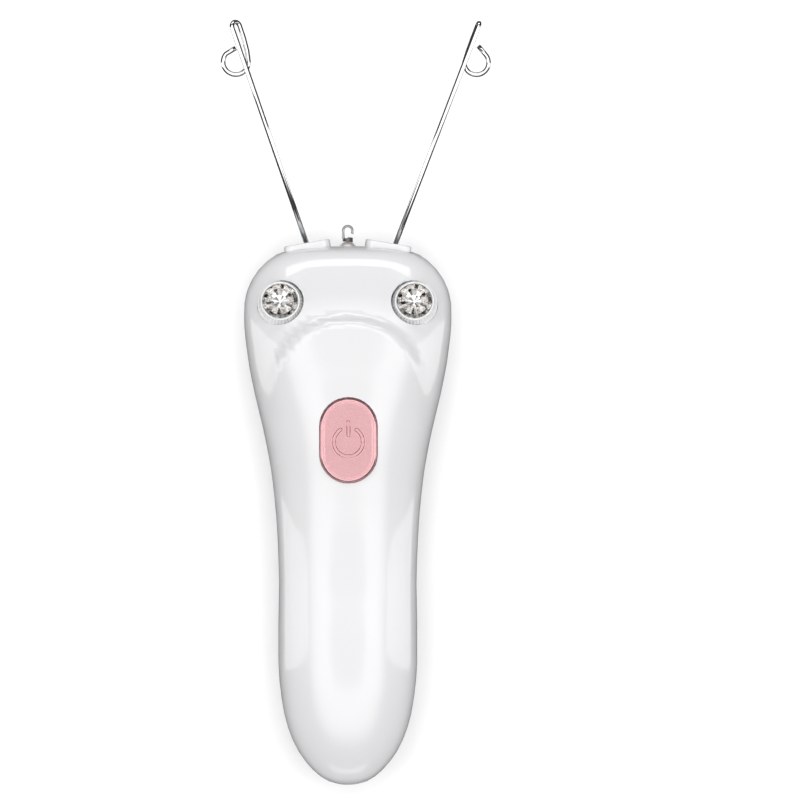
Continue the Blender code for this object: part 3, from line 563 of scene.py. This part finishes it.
low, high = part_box("stone_left")
stone_radius = (high[0] - low[0]) / 2
for side in ("left", "right"):
    node = f"stone_{side}"
    seat = seat_of(node)
    shape = faceted(CROWN_RINGS + BACK_RINGS, stone_radius * STONE_FILL)
    bmesh.ops.transform(shape, matrix=seat, verts=shape.verts)
    stand_in(new_piece(f"{node}_cut", shape), node)
    backing = new_piece(f"{node}_foil", pleated(stone_radius, seat))
    backing.data.materials.append(foil.material)
    backing.data.materials.append(dark_reflection_foil.material)
    for index, face in enumerate(backing.data.polygons):
        # About one facet in five gets the near-black foil, a painted dark reflection.
        face.material_index = int((index * 7 + index // PLEATS * 3) % ONE_DARK_REFLECTION_IN < 1)
    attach(backing, body_of_node[node])
print(f"two brilliants, {2000 * stone_radius:.1f} mm across")

# %% [markdown]
# ## The collars
# Each collar is a low cone with fine flutes moulded down its wall and a plain rolled lip. It is a
# turned ring whose radius ripples between the lip and the foot.

# %% A fluted collar
FLUTES = 40
STEPS_PER_FLUTE = 6
FLUTE_DEPTH = 0.22 * MM
COLLAR_WALL = [
    (5.74, -4.3, 0), (5.74, 0.0, 0), (5.72, 0.15, 0), (5.66, 0.3, 1), (5.05, 2.45, 1),
    (4.92, 2.65, 0), (4.88, 3.0, 0), (4.80, 3.18, 0), (4.66, 3.26, 0), (4.54, 3.2, 0),
    (4.50, 3.05, 0), (4.46, 2.5, 0), (1.0, -0.25, 0),
]


def fluted(wall, seat):
    """A ring of (radius, height, how much of the flute shows) turned about its axis."""
    shape = bmesh.new()
    count = FLUTES * STEPS_PER_FLUTE
    rings = []
    for radius, height, ripple in wall:
        ring = []
        for i in range(count):
            wave = (1 - math.cos(math.tau * i / STEPS_PER_FLUTE)) / 2
            reach = radius * MM - ripple * FLUTE_DEPTH * wave
            a = math.tau * i / count
            spot = Vector((reach * math.cos(a), reach * math.sin(a), height * MM))
            ring.append(shape.verts.new(seat @ spot))
        rings.append(ring)
    for near, far in zip(rings, rings[1:]):
        for i in range(count):
            j = (i + 1) % count
            shape.faces.new((near[i], near[j], far[j], far[i]))
    shape.faces.new(rings[0])
    shape.faces.new(rings[-1])
    bmesh.ops.recalc_face_normals(shape, faces=shape.faces)
    return shape


for side in ("left", "right"):
    collar = new_piece(f"stone_collar_{side}_fluted", fluted(COLLAR_WALL, seat_of(f"stone_{side}")), 40)
    stand_in(collar, f"stone_collar_{side}")
print(f"two collars with {FLUTES} flutes each")

# %% [markdown]
# ## The power button
# The cap is a stack of stadium rings that shrink towards the middle, close enough together to carry
# the engraving. A ring's height comes from how far in it lies and from how near the symbol runs.

# %% The button's size and its symbol
FLANGE_REACH = 0.8 * MM
FLANGE_HEIGHT = 1.1 * MM
BEVEL = 0.6 * MM
STEP_IN = 1.05 * MM
SYMBOL_RADIUS = 3.6 * MM
SYMBOL_LINE = 0.8 * MM
SYMBOL_DEPTH = 0.26 * MM
SYMBOL_SLOPE = 0.09 * MM
SYMBOL_GAP = math.radians(33)
SYMBOL_DROP = 0.4 * MM
BAR_START = 1.6 * MM
BAR_END = 4.9 * MM
STEP_DEPTH = 0.10 * MM
RING_STEP = 0.1 * MM
ARC_STEPS = 60
LINE_STEPS = 70
button_low, button_high = (Vector(corner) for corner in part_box("power_button"))
button_middle = (button_low + button_high) / 2
cap_radius = (button_high.x - button_low.x) / 2 - FLANGE_REACH
cap_reach = (button_high.y - button_low.y) / 2 - FLANGE_REACH - cap_radius
symbol_middle = Vector((button_middle.x, button_middle.y - SYMBOL_DROP))


def symbol_distance(x, y):
    """How far a point is from the centre line of the power symbol."""
    away = Vector((x, y)) - symbol_middle
    turn = abs(math.atan2(away.x, away.y))
    if turn > SYMBOL_GAP:
        to_ring = abs(away.length - SYMBOL_RADIUS)
    else:
        tip = Vector((math.sin(SYMBOL_GAP), math.cos(SYMBOL_GAP))) * SYMBOL_RADIUS
        to_ring = (Vector((abs(away.x), away.y)) - tip).length
    bar_y = max(BAR_START, min(BAR_END, away.y))
    to_bar = (away - Vector((0.0, bar_y))).length
    return min(to_ring, to_bar)


def stadium(inset):
    """Points of the cap's outline, moved in by an inset: an arc, a line, an arc and a line."""
    radius = cap_radius - inset
    points = []
    for turn, sign in ((0.0, 1), (math.pi, -1)):
        for i in range(ARC_STEPS):
            a = turn + math.pi * i / ARC_STEPS
            points.append((radius * math.cos(a), sign * cap_reach + radius * math.sin(a)))
        for i in range(LINE_STEPS):
            points.append((-sign * radius, sign * cap_reach * (1 - 2 * i / LINE_STEPS)))
    return [(button_middle.x + x, button_middle.y + y) for x, y in points]


def cap_height(x, y, inset):
    """Height of the cap's top face at a point this far in from its outline."""
    round_off = BEVEL * (1 - math.sqrt(1 - max(0.0, 1 - inset / BEVEL) ** 2))
    step = STEP_DEPTH * (1 - ramp(STEP_IN - 0.15 * MM, STEP_IN + 0.1 * MM, inset))
    edge = SYMBOL_LINE / 2
    cut = SYMBOL_DEPTH * (1 - ramp(edge - SYMBOL_SLOPE, edge + SYMBOL_SLOPE, symbol_distance(x, y)))
    return button_high.z - round_off - step - cut


# %% The button itself
foot = button_low.z
shape = bmesh.new()
levels = [(cap_radius - RING_STEP, foot), (0.0, foot), (-FLANGE_REACH, foot + 0.1 * MM)]
levels += [(-FLANGE_REACH, foot + FLANGE_HEIGHT), (0.0, foot + FLANGE_HEIGHT)]
levels += [(i * RING_STEP, None) for i in range(int(cap_radius / RING_STEP))]
rings = []
for inset, level in levels:
    spots = stadium(inset)
    heights = [level or cap_height(*spot, inset) for spot in spots]
    rings.append([shape.verts.new((*spot, z)) for spot, z in zip(spots, heights)])
for near, far in zip(rings, rings[1:]):
    for i in range(len(near)):
        j = (i + 1) % len(near)
        shape.faces.new((near[i], near[j], far[j], far[i]))
shape.faces.new(rings[0])
last = rings[-1]
left = last[ARC_STEPS : ARC_STEPS + LINE_STEPS + 1]
for i in range(LINE_STEPS):
    shape.faces.new((left[i], left[i + 1], last[-i - 1], last[-i]))
shape.faces.new(last[: ARC_STEPS + 1])
shape.faces.new(last[ARC_STEPS + LINE_STEPS : 2 * ARC_STEPS + LINE_STEPS + 1])
bmesh.ops.recalc_face_normals(shape, faces=shape.faces)
stand_in(new_piece("power_button_engraved", shape, 50), "power_button")
print(f"a button {2000 * cap_radius:.1f} mm wide, {len(levels)} rings")

# %% [markdown]
# ## The centre hook
# The hook is one bent wire: its stem comes up through the eyelet, steps to the left inside a short
# dark coil, goes round in a tall arch and ends in the open on the right.

# %% Hook and coil
HOOK_WIRE = 0.62 * MM
HOOK_HALF = 1.14 * MM
COIL_WIRE = 0.42 * MM
COIL_RADIUS = 1.1 * MM
COIL_TURNS = 2.25
COIL_STEPS = 20
STEM_OUT = 5.35 * MM
hook_low, hook_high = (Vector(corner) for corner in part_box("centre_hook"))
head_end = hook_high.y - STEM_OUT
level = (hook_low.z + hook_high.z) / 2


def wire_piece(name, points, diameter, node, finish=None):
    """A bent wire through a list of points that stands for a node."""
    data = bpy.data.curves.new(name, "CURVE")
    data.dimensions = "3D"
    data.bevel_depth = diameter / 2
    data.bevel_resolution = 4
    data.use_fill_caps = True
    spline = data.splines.new("POLY")
    spline.points.add(len(points) - 1)
    for knot, spot in zip(spline.points, points):
        knot.co = (*spot, 1.0)
    spline.use_smooth = True
    piece = bpy.data.objects.new(name, data)
    bpy.context.scene.collection.objects.link(piece)
    return stand_in(piece, node, finish)


arch = hook_high.y - HOOK_WIRE / 2 - HOOK_HALF
hook_line = [(0.0, hook_low.y), (0.0, head_end + 0.9 * MM)]
for t in (0.15, 0.35, 0.5, 0.65, 0.85, 1.0):
    hook_line.append((-HOOK_HALF * ramp(0, 1, t), head_end + (0.9 + 1.3 * t) * MM))
for i in range(17):
    a = math.pi * (1 - i / 16)
    hook_line.append((HOOK_HALF * math.cos(a), arch + HOOK_HALF * math.sin(a)))
hook_line += [(HOOK_HALF, arch - 0.6 * MM), (HOOK_HALF - 0.12 * MM, head_end + 3.1 * MM)]
hook_line = [(x, y, level) for x, y in hook_line]
wire_piece("centre_hook_wire", hook_line, HOOK_WIRE, "centre_hook", dark_nickel)
coil_line = []
for i in range(int(COIL_TURNS * COIL_STEPS) + 1):
    a = math.tau * i / COIL_STEPS
    rise = head_end + 1.15 * MM + 0.85 * MM * i / (COIL_TURNS * COIL_STEPS)
    coil_line.append((COIL_RADIUS * math.cos(a), rise, level + COIL_RADIUS * math.sin(a)))
wire_piece("hook_coil", coil_line, COIL_WIRE, "hook_collar")
print("hook and coil")

# %% [markdown]
# ## Stage, light and camera
# The product lies on a pale table and is seen from straight above through a long lens. The sky is a
# bright band well above the horizon, darker below it and dimmed overhead, so that metal has
# something dark to mirror and the white body isn't washed out. A strip beyond the head draws the
# bright lines on its slopes, and strips at the sides and the tail fill the edges.

# %% Floor
shape = bmesh.new()
bmesh.ops.create_grid(shape, x_segments=1, y_segments=1, size=3.0)
floor = new_piece("table_top", shape)
pale = Finish("pale_table", Roughness=0.6)
speck = pale.grain(30.0)
pale.drive("Base Color", pale.blend(speck, (0.92, 0.92, 0.92), (0.94, 0.94, 0.94)))
floor.data.materials.append(pale.material)
floor.visible_glossy = False

# %% Lights
world = bpy.data.worlds.new("studio")
world.use_nodes = True
sky = world.node_tree
up = sky.nodes.new("ShaderNodeSeparateXYZ")
sky.links.new(sky.nodes.new("ShaderNodeTexCoord").outputs["Generated"], up.inputs[0])
ceiling = sky.nodes.new("ShaderNodeMapRange")
ceiling.interpolation_type = "SMOOTHSTEP"
# From this height to that, the sky's strength goes from the first value to the second.
for socket, value in {1: 0.68, 2: 0.90, 3: 0.07, 4: 3.0}.items():
    ceiling.inputs[socket].default_value = value
sky.links.new(up.outputs["Z"], ceiling.inputs[0])
hood = sky.nodes.new("ShaderNodeMapRange")
hood.interpolation_type = "SMOOTHSTEP"
for socket, value in {1: 0.955, 2: 0.99, 3: 1.0, 4: 0.38}.items():
    hood.inputs[socket].default_value = value
sky.links.new(up.outputs["Z"], hood.inputs[0])
both = sky.nodes.new("ShaderNodeMath")
both.operation = "MULTIPLY"
sky.links.new(ceiling.outputs[0], both.inputs[0])
sky.links.new(hood.outputs[0], both.inputs[1])
sky.links.new(both.outputs[0], sky.nodes["Background"].inputs["Strength"])
sky.nodes["Background"].inputs["Color"].default_value = (1.0, 1.0, 1.0, 1.0)
bpy.context.scene.world = world
centre = Vector((0.0, 0.02, 0.015))


def soft_light(name, place, size, power):
    """A rectangular area light, aimed at the product."""
    lamp = bpy.data.lights.new(name, "AREA")
    lamp.shape = "RECTANGLE"
    lamp.size, lamp.size_y = size
    lamp.energy = power
    made = bpy.data.objects.new(name, lamp)
    made.location = place
    made.rotation_euler = (centre - Vector(place)).to_track_quat("-Z", "Y").to_euler()
    bpy.context.scene.collection.objects.link(made)


soft_light("beyond_head", (0.0, 0.80, 0.32), (0.9, 0.18), 2.0)
soft_light("left_strip", (-0.80, 0.0, 0.16), (0.25, 1.2), 2.0)
soft_light("right_strip", (0.80, 0.0, 0.16), (0.25, 1.2), 2.2)
soft_light("tail_strip", (0.0, -0.90, 0.30), (0.7, 0.15), 0.6)

# %% Camera
VIEW_WIDTH = 0.2
AIM = (0.0131, 0.0285)
FRONT_Z = 0.02
DISTANCE = 1.5
lens = bpy.data.cameras.new("front_view")
lens.sensor_width = 36.0
lens.lens = lens.sensor_width * DISTANCE / VIEW_WIDTH
lens.clip_start = 0.01
camera = bpy.data.objects.new("front_view", lens)
camera.location = (*AIM, DISTANCE + FRONT_Z)
bpy.context.scene.collection.objects.link(camera)
bpy.context.scene.camera = camera
bpy.context.scene.view_settings.view_transform = "Standard"
print(f"lens {lens.lens:.0f} mm")
